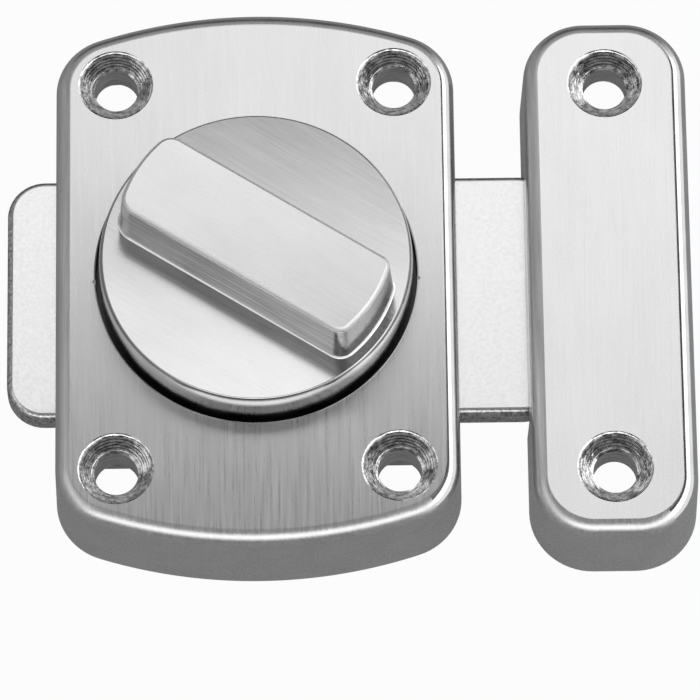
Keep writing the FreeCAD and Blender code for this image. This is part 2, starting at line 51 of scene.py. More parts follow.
def takeUp(piece):
    if bpy.context.object and bpy.context.object.mode != "OBJECT":
        bpy.ops.object.mode_set(mode="OBJECT")
    bpy.ops.object.select_all(action="DESELECT")
    piece.select_set(True)
    bpy.context.view_layer.objects.active = piece


def putDown():
    if bpy.context.object and bpy.context.object.mode != "OBJECT":
        bpy.ops.object.mode_set(mode="OBJECT")
    bpy.ops.object.select_all(action="DESELECT")


def pick(piece, kind, test):
    # edit mode with only the verts, edges or faces that pass the test
    bpy.ops.object.mode_set(mode="EDIT")
    bpy.ops.mesh.select_mode(type=kind)
    bpy.ops.mesh.select_all(action="DESELECT")
    mesh = bmesh.from_edit_mesh(piece.data)
    for item in {"VERT": mesh.verts, "EDGE": mesh.edges, "FACE": mesh.faces}[kind]:
        if test(item):
            item.select_set(True)
    bmesh.update_edit_mesh(piece.data)


def level(z, tolerance=0.004):
    # an edge that lies flat at this height, in millimetres
    return lambda edge: all(abs(v.co.z / mm - z) < tolerance for v in edge.verts)


def startPoint(name, x, y, z):
    # one vertex, the start of an outline
    putDown()
    bpy.ops.mesh.primitive_plane_add(size=mm, location=(x * mm, y * mm, z * mm))
    piece = bpy.context.object
    piece.name = piece.data.name = name
    bpy.ops.object.transform_apply(location=True)
    bpy.ops.object.mode_set(mode="EDIT")
    bpy.ops.mesh.select_mode(type="VERT")
    bpy.ops.mesh.select_all(action="SELECT")
    bpy.ops.mesh.merge(type="CENTER")
    return piece


def drawOutline(name, start, moves, z=0.0):
    # straight runs are (x, y), corners are (centreX, centreY, degrees, steps)
    piece = startPoint(name, start[0], start[1], z)
    at = Vector((start[0], start[1], 0))
    for move in moves:
        if len(move) == 2:
            run = Vector((move[0], move[1], 0)) - at
            if run.length > 1e-6:
                bpy.ops.mesh.extrude_vertices_move(TRANSFORM_OT_translate={"value": run * mm})
            at = Vector((move[0], move[1], 0))
        else:
            centre = Vector((move[0], move[1], 0))
            bpy.ops.mesh.spin(steps=move[3], angle=math.radians(-move[2]), use_auto_merge=False,
                              center=(centre.x * mm, centre.y * mm, z * mm), axis=(0, 0, 1))
            at = centre + Matrix.Rotation(math.radians(move[2]), 3, "Z") @ (at - centre)
    bpy.ops.mesh.select_all(action="SELECT")
    bpy.ops.mesh.remove_doubles(threshold=2e-6)
    bpy.ops.mesh.edge_face_add()
    if bmesh.from_edit_mesh(piece.data).faces[:][0].normal.z < 0:
        bpy.ops.mesh.flip_normals()
    return piece


def pillowMoves(halfWidth, halfHeight, endRadius, cornerRadius):
    # straight sides, rounded corners and ends that bulge in one long arc
    cornerSteps, endSteps = 14, 40
    cornerX = halfWidth - cornerRadius
    bigY = halfHeight - endRadius
    cornerY = bigY + math.sqrt((endRadius - cornerRadius) ** 2 - cornerX ** 2)
    lean = math.degrees(math.atan2(cornerY - bigY, cornerX))
    return (halfWidth, -cornerY), [
        (halfWidth, cornerY), (cornerX, cornerY, lean, cornerSteps),
        (0, bigY, 180 - 2 * lean, endSteps), (-cornerX, cornerY, lean, cornerSteps),
        (-halfWidth, -cornerY), (-cornerX, -cornerY, lean, cornerSteps),
        (0, -bigY, 180 - 2 * lean, endSteps), (cornerX, -cornerY, lean, cornerSteps)]


def boxMoves(x0, x1, y0, y1, radius, steps=16):
    return (x1, y0 + radius), [
        (x1, y1 - radius), (x1 - radius, y1 - radius, 90, steps),
        (x0 + radius, y1), (x0 + radius, y1 - radius, 90, steps),
        (x0, y0 + radius), (x0 + radius, y0 + radius, 90, steps),
        (x1 - radius, y0), (x1 - radius, y0 + radius, 90, steps)]


def raiseFace(height):
    bpy.ops.mesh.extrude_region_move(TRANSFORM_OT_translate={"value": (0, 0, height * mm)})


def closeUp(piece):
    # doubles merged first, then every face turned outwards
    bpy.ops.object.mode_set(mode="EDIT")
    bpy.ops.mesh.select_mode(type="VERT")
    bpy.ops.mesh.select_all(action="SELECT")
    bpy.ops.mesh.remove_doubles(threshold=1e-6)
    bpy.ops.mesh.normals_make_consistent(inside=False)
    bpy.ops.object.mode_set(mode="OBJECT")
    return piece


def roundLoop(piece, z, offset, segments):
    pick(piece, "EDGE", level(z))
    bpy.ops.mesh.bevel(offset=offset * mm, segments=segments, profile=0.5, affect="EDGES",
                       clamp_overlap=True)


def turned(name, profile, steps, x=0.0, y=0.0):
    # a profile of (radius, height) spun once round an upright axis
    piece = startPoint(name, x + profile[0][0], y, profile[0][1])
    for (r0, z0), (r1, z1) in zip(profile, profile[1:]):
        run = ((r1 - r0) * mm, 0, (z1 - z0) * mm)
        bpy.ops.mesh.extrude_vertices_move(TRANSFORM_OT_translate={"value": run})
    bpy.ops.mesh.select_all(action="SELECT")
    bpy.ops.mesh.spin(steps=steps, angle=math.radians(360), use_auto_merge=True,
                      center=(x * mm, y * mm, 0), axis=(0, 0, 1))
    return closeUp(piece)


def rod(name, radius, z0, z1, x=0.0, y=0.0, steps=48):
    return turned(name, [(0, z0), (radius, z0), (radius, z1), (0, z1)], steps, x, y)


def combine(piece, others, how):
    # each other piece is fused to this one or cut out of it, then thrown away
    for other in others:
        takeUp(piece)
        change = piece.modifiers.new(how.title(), "BOOLEAN")
        change.operation = how
        change.solver = "EXACT"
        change.object = other
        bpy.ops.object.modifier_apply(modifier=change.name)
        bpy.data.objects.remove(other)
        bpy.ops.object.mode_set(mode="EDIT")
        bpy.ops.mesh.select_all(action="SELECT")
        bpy.ops.mesh.remove_doubles(threshold=5e-7)
        bpy.ops.object.mode_set(mode="OBJECT")
    return piece


def grind(piece, height):
    # ground flat, which leaves a crisp edge where the rounding starts
    pick(piece, "FACE", lambda face: True)
    bpy.ops.mesh.bisect(plane_co=(0, 0, height * mm), plane_no=(0, 0, 1), clear_outer=True,
                        threshold=1e-6)
    closeUp(piece)
    pick(piece, "EDGE", lambda edge: edge.is_boundary)
    bpy.ops.mesh.edge_face_add()
    closeUp(piece)


def smooth(piece, creases=()):
    # round shading, with the loops at the creases' heights kept crisp
    takeUp(piece)
    bpy.ops.object.shade_smooth_by_angle(angle=math.radians(softEdge))
    if creases:
        heights = [level(z, 0.001) for z in creases]
        pick(piece, "EDGE", lambda edge: any(flat(edge) for flat in heights))
        bpy.ops.mesh.mark_sharp()
        bpy.ops.object.mode_set(mode="OBJECT")
    change = piece.modifiers.new("Flats", "WEIGHTED_NORMAL")
    change.keep_sharp = True
    change.weight = 90
    bpy.ops.object.modifier_apply(modifier=change.name)
    putDown()


def shareOut(piece, finishes, rule):
    # the rule gives each face the number of its finish, by its middle in millimetres and its normal
    piece.data.materials.clear()
    for finish in finishes:
        piece.data.materials.append(finish)
    for face in piece.data.polygons:
        face.material_index = rule(face.center / mm, face.normal)


def settle(piece, body, slot, *nodes):
    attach(piece, body)
    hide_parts(*nodes)


def newMaterial(name):
    material = bpy.data.materials.new(name)
    material.use_nodes = True
    tree = material.node_tree
    return material, tree, tree.nodes["Principled BSDF"]


def newMetal(name):
    material, tree, shader = newMaterial(name)
    shader.inputs["Metallic"].default_value = 1.0
    return material, tree, shader


def add(tree, kind, **settings):
    node = tree.nodes.new(kind)
    for key, setting in settings.items():
        if key in node.inputs:
            node.inputs[key].default_value = setting
        else:
            setattr(node, key, setting)
    return node


def objectSpace(tree, scale, turn=0.0):
    # object coordinates turned to the brushing, then stretched along it
    where = add(tree, "ShaderNodeTexCoord")
    unturn = add(tree, "ShaderNodeMapping", vector_type="POINT", Rotation=(0, 0, -turn))
    stretch = add(tree, "ShaderNodeMapping", vector_type="POINT", Scale=scale)
    tree.links.new(where.outputs["Object"], unturn.inputs["Vector"])
    tree.links.new(unturn.outputs["Vector"], stretch.inputs["Vector"])
    return stretch.outputs["Vector"]


def noise(tree, vector, detail, roughness):
    node = add(tree, "ShaderNodeTexNoise", Scale=1.0, Detail=detail, Roughness=roughness)
    tree.links.new(vector, node.inputs["Vector"])
    return node.outputs["Fac"]


def ramp(tree, factor, low, high, outLow, outHigh):
    node = add(tree, "ShaderNodeMapRange",
               **{"From Min": low, "From Max": high, "To Min": outLow, "To Max": outHigh})
    tree.links.new(factor, node.inputs["Value"])
    return node.outputs["Result"]


def reckon(tree, operation, a, b):
    node = add(tree, "ShaderNodeMath", operation=operation)
    for socket, item in zip(node.inputs, (a, b)):
        if isinstance(item, (int, float)):
            socket.default_value = item
        else:
            tree.links.new(item, socket)
    return node.outputs[0]


def blend(tree, a, b, share):
    return reckon(tree, "ADD", reckon(tree, "MULTIPLY", a, 1 - share),
                  reckon(tree, "MULTIPLY", b, share))


def tint(tree, shader, tone, low, high, dark, light):
    # a grey, dark where the tone is low; a Mix node's sockets share their names, so they go by number
    mix = add(tree, "ShaderNodeMix", data_type="RGBA")
    tree.links.new(ramp(tree, tone, low, high, 0.0, 1.0), mix.inputs["Factor"])
    mix.inputs[6].default_value = (dark, dark, dark, 1)
    mix.inputs[7].default_value = (light, light, light, 1)
    tree.links.new(mix.outputs[2], shader.inputs["Base Color"])


def polish(tree, shader, tone, low, high, least, most):
    tree.links.new(ramp(tree, tone, low, high, least, most), shader.inputs["Roughness"])


def brushAcross(tree, shader, turn):
    # the highlight spreads across the brush lines, on flats and on rounded walls alike
    lean = 0.25
    normal = add(tree, "ShaderNodeNewGeometry").outputs["Normal"]
    lay = add(tree, "ShaderNodeVectorTransform", vector_type="VECTOR", convert_from="OBJECT",
              convert_to="WORLD")
    lay.inputs["Vector"].default_value = (-math.sin(turn), math.cos(turn), lean)
    cross = add(tree, "ShaderNodeVectorMath", operation="CROSS_PRODUCT")
    tree.links.new(lay.outputs["Vector"], cross.inputs[0])
    tree.links.new(normal, cross.inputs[1])
    tree.links.new(cross.outputs["Vector"], shader.inputs["Tangent"])


def hollowed(tree, x, y, acrossX, acrossY, radius):
    # a buffed face is never quite flat: this is the normal of a very shallow hollow
    # about a line or a point, in metres
    where = add(tree, "ShaderNodeTexCoord")
    mapping = add(tree, "ShaderNodeMapping", vector_type="TEXTURE", Location=(x, y, 0))
    tree.links.new(where.outputs["Object"], mapping.inputs["Vector"])
    only = add(tree, "ShaderNodeVectorMath", operation="MULTIPLY")
    tree.links.new(mapping.outputs["Vector"], only.inputs[0])
    only.inputs[1].default_value = (acrossX, acrossY, 0)
    reach = add(tree, "ShaderNodeVectorMath", operation="DOT_PRODUCT")
    tree.links.new(only.outputs["Vector"], reach.inputs[0])
    tree.links.new(only.outputs["Vector"], reach.inputs[1])
    dish = add(tree, "ShaderNodeBump", Strength=1.0, Distance=1.0)
    tree.links.new(reckon(tree, "MULTIPLY", reach.outputs["Value"], 0.5 / radius), dish.inputs["Height"])
    return dish.outputs["Normal"]


def emboss(tree, shader, height, bite, depth, hollow=None):
    # fine relief, over the hollow where there is one
    bump = add(tree, "ShaderNodeBump", Strength=bite, Distance=depth)
    tree.links.new(height, bump.inputs["Height"])
    tree.links.new(bump.outputs["Normal"], shader.inputs["Normal"])
    if hollow:
        tree.links.new(hollowed(tree, **hollow), bump.inputs["Normal"])


# repeats per metre along x, y and z, and depth of relief in metres
grain = {
    "brushFine": (6500, 130, 5200), "brushCoarse": (2300, 70, 2000), "brushCloud": (160, 70, 120),
    "skinCloud": (260, 260, 260), "skin": (3000, 3000, 3000), "drilled": (300, 300, 5200),
    "chatter": (1300, 1300, 2600),
    "castRelief": 0.00002, "sheetRelief": 0.00003, "chatterRelief": 0.00006,
}


def brushedCasting(name, turn, light, dark, roughness, spread, hollow=None, bite=0.03):
    material, tree, shader = newMetal(name)
    shader.inputs["Anisotropic"].default_value = spread
    fine = noise(tree, objectSpace(tree, grain["brushFine"], turn), detail=3, roughness=0.6)
    coarse = noise(tree, objectSpace(tree, grain["brushCoarse"], turn), detail=2, roughness=0.5)
    cloud = noise(tree, objectSpace(tree, grain["brushCloud"], turn), detail=4, roughness=0.6)
    lines = blend(tree, fine, coarse, share=0.35)
    tint(tree, shader, blend(tree, lines, cloud, share=0.25), 0.38, 0.62, dark, light)
    polish(tree, shader, lines, 0.35, 0.65, roughness - 0.03, roughness + 0.05)
    emboss(tree, shader, fine, bite, grain["castRelief"], hollow)
    brushAcross(tree, shader, turn)
    return material


def satinSkin(name, light, dark, roughness, lay="skin", share=0.3):
    # plated casting skin on the roundings and walls, smooth with a faint cloud
    material, tree, shader = newMetal(name)
    cloud = noise(tree, objectSpace(tree, grain["skinCloud"]), detail=4, roughness=0.55)
    fine = noise(tree, objectSpace(tree, grain[lay]), detail=2, roughness=0.5)
    tone = blend(tree, cloud, fine, share)
    tint(tree, shader, tone, 0.35, 0.65, dark, light)
    polish(tree, shader, tone, 0.35, 0.65, roughness - 0.03, roughness + 0.04)
    emboss(tree, shader, fine, bite=0.06, depth=grain["castRelief"])
    return material


def sinkMetal(name):
    # the cutter's chatter in the screw holes
    material, tree, shader = newMetal(name)
    rough = noise(tree, objectSpace(tree, grain["chatter"]), detail=3, roughness=0.6)
    tint(tree, shader, rough, 0.35, 0.65, dark=0.3, light=1.0)
    polish(tree, shader, rough, 0.3, 0.7, least=0.06, most=0.18)
    emboss(tree, shader, rough, bite=0.55, depth=grain["chatterRelief"])
    return material


def platedSheet(name, light, dark, size, roughness, hollow=None, bite=0.3):
    material, tree, shader = newMetal(name)
    speck = noise(tree, objectSpace(tree, (size, size, size)), detail=4, roughness=0.7)
    tint(tree, shader, speck, 0.35, 0.65, dark, light)
    polish(tree, shader, speck, 0.3, 0.7, roughness - 0.03, roughness + 0.06)
    emboss(tree, shader, speck, bite, grain["sheetRelief"], hollow)
    return material


alongBar = math.radians(90 + restAngle)
housingFinish = brushedCasting("BrushedHousing", 0, light=0.97, dark=0.87, roughness=0.29, spread=0.6,
                               bite=0.003)
strikeFinish = brushedCasting("BrushedStrike", 0, light=1.0, dark=0.88, roughness=0.25, spread=0.4,
                              hollow=dict(x=0, y=0.02, acrossX=0, acrossY=1, radius=0.7))
rolledFinish = brushedCasting("BrushedEdge", 0, light=0.78, dark=0.6, roughness=0.36, spread=0.1)
barTopFinish = brushedCasting("BrushedBarTop", alongBar, light=1.0, dark=0.8, roughness=0.22, spread=0.3,
                              hollow=dict(x=0, y=0.1, acrossX=0, acrossY=1, radius=3.5))
barEdgeFinish = brushedCasting("BrushedBarEdge", alongBar, light=0.92, dark=0.8, roughness=0.55,
                               spread=0.0)
# painted shade: the bar's walls are a much darker copy of the bar top's brushed metal, for the shade on the
# walls
barWallShadeFinish = brushedCasting("BrushedBarWallPaintedShade", alongBar, light=0.66, dark=0.34, roughness=0.16,
                               spread=0.3)
discFinish = brushedCasting("BrushedDisc", alongBar, light=1.0, dark=0.82, roughness=0.16, spread=0.2,
                            hollow=dict(x=0, y=0, acrossX=1, acrossY=1, radius=0.27))
skinFinish = satinSkin("CastSkin", light=0.74, dark=0.67, roughness=0.27)
footFinish = satinSkin("BarFoot", light=0.98, dark=0.9, roughness=0.14)
# painted shade: the knob's rim and underside are a darker copy of the cast skin, standing in for the dark
# reflection there
rimShadeFinish = satinSkin("KnobRimPaintedShade", light=0.5, dark=0.4, roughness=0.17, share=0.1)
crispFinish = satinSkin("StrikeEdge", light=0.86, dark=0.76, roughness=0.1, share=0.1)
sinkFinish = sinkMetal("CutScrewHole")
boreFinish = satinSkin("DrilledHole", light=0.95, dark=0.5, roughness=0.3, lay="drilled", share=0.8)
# painted shade: the recess wall and floor are coloured near black so the gap round the knob reads as shadow
recessShadeFinish = satinSkin("RecessPaintedShade", light=0.2, dark=0.14, roughness=0.4)
boltFinish = platedSheet("PlatedBolt", light=1.0, dark=0.96, size=2600.0, roughness=0.2,
                         hollow=dict(x=0, y=0.02, acrossX=0, acrossY=1, radius=0.8), bite=0.1)
boltEdgeFinish = platedSheet("RolledBoltEdge", light=0.8, dark=0.2, size=2300.0, roughness=0.3)
plateFinish = platedSheet("PlatedSheet", light=0.72, dark=0.6, size=700.0, roughness=0.32)
screwFinish = satinSkin("PlatedScrew", light=0.9, dark=0.78, roughness=0.2)
steelFinish = platedSheet("PlainSteel", light=0.6, dark=0.45, size=2500.0, roughness=0.32)


# sizes of both castings, the last two rows for where each finish ends
castings = {
    "depth": 12.0, "draft": 1.2, "faceRound": 1.9, "faceSteps": 14, "wall": 2.2, "hollowRoof": 9.2,
    "fuse": 9.9, "slotRoof": 5.2, "ground": 0.006, "hole": 5.2, "sink": 8.7, "sinkRim": 0.16,
    "sinkFoot": 0.1, "sinkRings": 5, "sinkStep": 0.3, "ringBite": 0.06, "ringStart": 0.12,
    "ringDeep": 0.55, "mouthLift": 0.002, "bossRadius": 5.6, "holeSpanY": 49.6,
    "faceSkin": 0.003, "sinkReach": 0.25, "sinkDepth": 0.12, "boreReach": 0.05, "farLean": 0.4,
    "sideLean": 0.6, "rolled": 0.1,
}


def screwHoleCutter(name, x, y):
    # the drill and the 90 degree countersink in one, with the cutter's rings and a slightly broken mouth
    c = castings
    drill, sink, top = c["hole"] / 2, c["sink"] / 2, c["depth"]
    rim, rings, step = c["sinkRim"], c["sinkRings"], drill + c["sinkStep"]
    floor = top - (sink - drill)
    profile = [(0, -past), (drill, -past), (drill, floor - c["sinkFoot"]), (step, floor)]
    for ring in range(rings):
        for part, out in ((c["ringStart"], 0), (c["ringDeep"], c["ringBite"])):
            radius = step + (sink - rim - step) * (ring + part) / rings
            profile.append((radius + out, top - (sink - radius) - out))
    profile += [(sink - rim * 0.7, top - rim), (sink + rim * 0.1, top - rim * 0.35),
                (sink + rim, top + c["mouthLift"]), (sink + rim, top + past), (0, top + past)]
    return turned(name, profile, steps=72, x=x, y=y)


def castShell(name, outline, hollow):
    # drafted block, its face rounded all round and ground flat, hollow from the door side
    c = castings
    full = c["depth"] + c["ground"]
    piece = drawOutline(name, *outline)
    bpy.ops.mesh.inset(thickness=full * math.tan(math.radians(c["draft"])) * mm, depth=full * mm,
                       use_even_offset=True)
    atFoot = level(0)
    pick(piece, "EDGE", lambda edge: atFoot(edge) and edge.is_boundary)
    bpy.ops.mesh.edge_face_add()
    closeUp(piece)
    roundLoop(piece, full, c["faceRound"] * math.tan(math.radians(45 - c["draft"] / 2)), c["faceSteps"])
    grind(piece, c["depth"])
    core = drawOutline(name + "Core", *hollow, z=-past)
    raiseFace(c["hollowRoof"] + past)
    closeUp(core)
    return combine(piece, [core], "DIFFERENCE")


def finishCasting(piece, face, centres):
    # brushed face, plated skin, cut countersinks, drilled holes, painted shade in the recess and brushed
    # edges
    c = castings
    top, hole, sink = c["depth"], c["hole"] / 2, c["sink"] / 2

    def rule(middle, normal):
        if middle.z > top - c["faceSkin"] and normal.z > flatUp:
            return 0
        reach = min(math.hypot(middle.x - x, middle.y - y) for x, y in centres)
        if reach < sink + c["sinkReach"] and middle.z > top - (sink - hole) - c["sinkDepth"]:
            return 2
        if reach < hole + c["boreReach"]:
            return 3
        # the recess takes the near-black painted shade
        if math.hypot(middle.x, middle.y) < housing["recess"] + c["boreReach"]:
            return 4
        # the brushing rolls over the near and side edges, not over the far one, and the right edge is crisp
        rounded = middle.z > top - c["faceRound"] and normal.z > c["rolled"]
        lying = math.hypot(normal.x, normal.y)
        if not rounded or normal.y > c["farLean"] * lying:
            return 1
        return 6 if normal.x > c["sideLean"] * lying else 5

    shareOut(piece, (face, skinFinish, sinkFinish, boreFinish, recessShadeFinish, rolledFinish, crispFinish), rule)


housing = {
    "halfWidth": 24.1, "halfHeight": 34.6, "endRadius": 60.0, "cornerRadius": 7.5, "bossFoot": 6.5,
    "holeSpanX": 33.4, "recess": 19.1, "recessFloor": 9.0, "recessRim": 0.22, "cupRadius": 22.1,
    "webBottom": 7.6, "hubBore": 5.0, "postRadius": 1.9, "postX": 11.0, "postY": 17.95, "pilot": 1.05,
    "pilotTop": 7.0, "slotHalf": 15.75, "slotRound": 1, "passageHalf": 40, "plate": 1.0, "nick": 0.3,
    "nickDepth": 0.3, "nickY": -0.9,
}


def makeHousing():
    h, c = housing, castings
    sizes = [h[key] for key in ("halfWidth", "halfHeight", "endRadius", "cornerRadius")]
    piece = castShell("housing_casting", pillowMoves(*sizes),
                      pillowMoves(*(size - c["wall"] for size in sizes)))
    corners = [(sx, sy) for sx in (1, -1) for sy in (1, -1)]
    holeX, holeY = h["holeSpanX"] / 2, c["holeSpanY"] / 2
    added = [rod("cup", h["cupRadius"], h["webBottom"], c["fuse"], steps=96)]
    for sx, sy in corners:
        added.append(rod("boss", c["bossRadius"], h["bossFoot"], c["fuse"], sx * holeX, sy * holeY))
        added.append(rod("post", h["postRadius"], h["plate"], c["fuse"],
                         sx * h["postX"], sy * h["postY"], steps=32))
    combine(piece, added, "UNION")
    rim, top, wide = h["recessRim"], c["depth"], h["recess"]
    recess = turned("recess", [(0, h["recessFloor"]), (wide, h["recessFloor"]), (wide, top - rim),
                               (wide + rim * 0.3, top - rim * 0.3), (wide + rim, top + c["mouthLift"]),
                               (wide + rim, top + past), (0, top + past)], steps=160)
    cut = [recess, rod("bore", h["hubBore"], 0, top, steps=64)]
    passage = drawOutline("passage", *boxMoves(-h["passageHalf"], h["passageHalf"], -h["slotHalf"],
                                               h["slotHalf"], h["slotRound"]), z=-past)
    raiseFace(c["slotRoof"] + past)
    cut.append(closeUp(passage))
    for sx, sy in corners:
        cut.append(rod("pilot", h["pilot"], -past, h["pilotTop"],
                       sx * h["postX"], sy * h["postY"], steps=24))
        cut.append(screwHoleCutter("hole", sx * holeX, sy * holeY))
        cut.append(rod("relief", c["bossRadius"], -past, h["bossFoot"], sx * holeX, sy * holeY))
    for sx in (1, -1):
        # small nick on the recess rim at each side
        cut.append(rod("nick", h["nick"], top - h["nickDepth"], top + past,
                       sx * (wide + h["nick"] * 0.3), h["nickY"], steps=12))
    combine(piece, cut, "DIFFERENCE")
    finishCasting(piece, housingFinish, [(sx * holeX, sy * holeY) for sx, sy in corners])
    smooth(piece, [top])
    settle(piece, "mounting", "satin_casting", "housing")


strike = {
    "x": 42.05, "y": -0.5, "halfWidth": 9.95, "halfHeight": 33.4, "cornerRadius": 7.5, "bossFoot": 4.4,
    "slotHalf": 16.35, "slotRound": 1, "passageOut": 10, "backBore": 4.8, "backBoreTop": 6.9,
}


def makeStrike():
    s, c = strike, castings
    x0, x1 = s["x"] - s["halfWidth"], s["x"] + s["halfWidth"]
    y0, y1 = s["y"] - s["halfHeight"], s["y"] + s["halfHeight"]
    wall = c["wall"]
    piece = castShell("strike_casting", boxMoves(x0, x1, y0, y1, s["cornerRadius"]),
                      boxMoves(x0 + wall, x1 - wall, y0 + wall, y1 - wall, s["cornerRadius"] - wall))
    holeY = c["holeSpanY"] / 2
    added = [rod("boss", c["bossRadius"], s["bossFoot"], c["fuse"], s["x"], s["y"] + sy * holeY)
             for sy in (1, -1)]
    combine(piece, added, "UNION")
    passage = drawOutline("passage", *boxMoves(x0 - s["passageOut"], s["x"], s["y"] - s["slotHalf"],
                                               s["y"] + s["slotHalf"], s["slotRound"]), z=-past)
    raiseFace(c["slotRoof"] + past)
    cut = [closeUp(passage)]
    for sy in (1, -1):
        cut.append(rod("backBore", s["backBore"], 0, s["backBoreTop"], s["x"], s["y"] + sy * holeY))
        cut.append(screwHoleCutter("hole", s["x"], s["y"] + sy * holeY))
    combine(piece, cut, "DIFFERENCE")
    finishCasting(piece, strikeFinish, [(s["x"], s["y"] + holeY), (s["x"], s["y"] - holeY)])
    smooth(piece, [c["depth"]])
    settle(piece, "mounting", "satin_casting", "strike")


makeHousing()
print("housing cast")
makeStrike()
print("strike cast")


knob = {
    "radius": 18.6, "bottom": 9.3, "top": 17.05, "rimRound": 0.55, "rimDrop": 1.8, "rimStart": 4,
    "rimSteps": 12, "ground": 0.08, "faceWall": 2.4, "rimWall": 2.2, "hub": 4.92, "hubWall": 2.4,
    "hubEnd": 7.2, "barHalfLength": 16.9, "barHalfWidth": 6.05, "barHeight": 7.05, "barDraft": 4.5,
    "barRoot": 1, "softCorner": 2.6, "sharpCorner": 2.0, "cornerSteps": 8, "endSteps": 20,
    "topRound": 0.75, "topSteps": 8, "footRound": 0.24, "footSteps": 6, "sunk": 0.004, "tang": 2.5,
    "tangRound": 0.5, "tangFoot": 5.95, "tangTurn": 45, "screwBore": 1.3, "boreTop": 13.2,
    "faceSkin": 0.01, "footLean": 0.1,
}


def makeKnob():
    k = knob
    coreOuter, coreInner = k["radius"] - k["rimWall"], k["hub"] + k["hubWall"]
    coreTop = k["top"] - k["faceWall"]
    rim = []
    for step in range(k["rimSteps"], -1, -1):
        lean = math.radians(k["rimStart"] + (90 - k["rimStart"]) * step / k["rimSteps"])
        rim.append((k["radius"] - k["rimRound"] * (1 - math.sin(lean)),
                    k["top"] - k["rimDrop"] * (math.cos(math.radians(k["rimStart"])) - math.cos(lean))))
    piece = turned("knob_casting", [(0, k["hubEnd"]), (k["hub"], k["hubEnd"]), (k["hub"], k["bottom"]),
                                    (coreInner, k["bottom"]), (coreInner, coreTop), (coreOuter, coreTop),
                                    (coreOuter, k["bottom"]), (k["radius"], k["bottom"])] + rim
                   + [(0, k["top"])], steps=192)

    # grip bar: its ends follow a circle about the axis, the corners at one end are softer,
    # a small fillet runs round its foot
    foot = k["footRound"]
    start, moves = None, []
    for turn in (0, 180):
        corner = (k["sharpCorner"] if turn == 0 else k["softCorner"]) + foot
        cy = k["barHalfWidth"] + foot - corner
        cx = math.sqrt((k["barHalfLength"] + foot - corner) ** 2 - cy ** 2)
        lean = math.degrees(math.atan2(cy, cx))
        side = 1 if turn == 0 else -1
        if start is None:
            start = (cx, -k["barHalfWidth"] - foot)
        else:
            moves.append((side * cx, -side * (k["barHalfWidth"] + foot)))
        moves += [(side * cx, -side * cy, 90 - lean, k["cornerSteps"]), (0, 0, 2 * lean, k["endSteps"]),
                  (side * cx, side * cy, 90 - lean, k["cornerSteps"])]
    bar = drawOutline("bar", start, moves, z=k["top"] - k["barRoot"] - k["sunk"])
    raiseFace(k["barRoot"])
    full = k["barHeight"] + k["ground"]
    steps = []
    for step in range(k["footSteps"] + 1):
        lean = math.radians(90 / k["footSteps"] * step)
        steps.append((foot * math.sin(lean), foot * (1 - math.cos(lean))))
    steps.append((foot + (full - foot) * math.tan(math.radians(k["barDraft"])), full))
    for (x0, z0), (x1, z1) in zip(steps, steps[1:]):
        bpy.ops.mesh.inset(thickness=(x1 - x0) * mm, depth=(z1 - z0) * mm, use_even_offset=True)
    closeUp(bar)
    pick(bar, "EDGE", lambda edge: edge.is_boundary)
    bpy.ops.mesh.edge_face_add()
    closeUp(bar)
    roundLoop(bar, k["top"] + full - k["sunk"], k["topRound"], k["topSteps"])
    grind(bar, k["top"] + k["barHeight"])
    combine(piece, [bar], "UNION")

    tang = drawOutline("tang", *boxMoves(-k["tang"], k["tang"], -k["tang"], k["tang"], k["tangRound"],
                                         steps=4), z=k["tangFoot"])
    raiseFace(k["hubEnd"] + past - k["tangFoot"])
    closeUp(tang)
    tang.rotation_euler.z = math.radians(k["tangTurn"])
    bpy.ops.object.transform_apply(rotation=True)
    combine(piece, [tang], "UNION")
    combine(piece, [rod("bore", k["screwBore"], 0, k["boreTop"], steps=24)], "DIFFERENCE")
    piece.rotation_euler.z = math.radians(restAngle)
    takeUp(piece)
    bpy.ops.object.transform_apply(rotation=True)
    barTop = k["top"] + k["barHeight"]

    def rule(middle, normal):
        if normal.z > flatUp and middle.z > k["top"] - k["faceSkin"]:
            return 0 if middle.z > barTop - k["faceSkin"] else 3
        # the rim and everything below the disc take the darker painted-shade copy of the skin
        if middle.z < k["top"]:
            return 1
        if middle.z > barTop - k["topRound"]:
            return 4
        # the bar's walls take the darker painted-shade copy of the brushed metal
        return 5 if middle.z < k["top"] + k["footRound"] and normal.z > k["footLean"] else 2

    shareOut(piece, (barTopFinish, rimShadeFinish, barWallShadeFinish, discFinish, barEdgeFinish, footFinish), rule)
    smooth(piece, [k["top"], barTop])
    settle(piece, "turn", "satin_casting", "knob")


makeKnob()
print("knob cast")


bolt = {
    "x0": -29.93, "x1": 35.97, "halfWidth": 15.45, "bottom": 1.3, "thickness": 3.6, "cornerRadius": 4.5,
    "edgeRound": 0.75, "edgeSteps": 5, "slotX": 2.07, "slotNear": -7.42, "slotFar": -10.5,
    "slotHalf": 2.35, "slotSteps": 24, "slotCut": 8, "flat": 0.96,
}


def makeBolt():
    b = bolt
    piece = drawOutline("bolt_plate", *boxMoves(b["x0"], b["x1"], -b["halfWidth"], b["halfWidth"],
                                                b["cornerRadius"]), z=b["bottom"])
    raiseFace(b["thickness"])
    closeUp(piece)
    roundLoop(piece, b["bottom"], b["edgeRound"], b["edgeSteps"])
    roundLoop(piece, b["bottom"] + b["thickness"], b["edgeRound"], b["edgeSteps"])
    bpy.ops.object.mode_set(mode="OBJECT")
    x, half, steps = b["slotX"], b["slotHalf"], b["slotSteps"]
    slot = drawOutline("slot", (x + half, b["slotFar"]), [
        (x + half, b["slotNear"]), (x, b["slotNear"], 180, steps),
        (x - half, b["slotFar"]), (x, b["slotFar"], 180, steps)])
    raiseFace(b["slotCut"])
    combine(piece, [closeUp(slot)], "DIFFERENCE")
    smooth(piece)
    shareOut(piece, (boltFinish, boltEdgeFinish),
             lambda middle, normal: 0 if abs(normal.z) > b["flat"] else 1)
    settle(piece, "slider", "plated_plate", "bolt")


makeBolt()
print("bolt made")


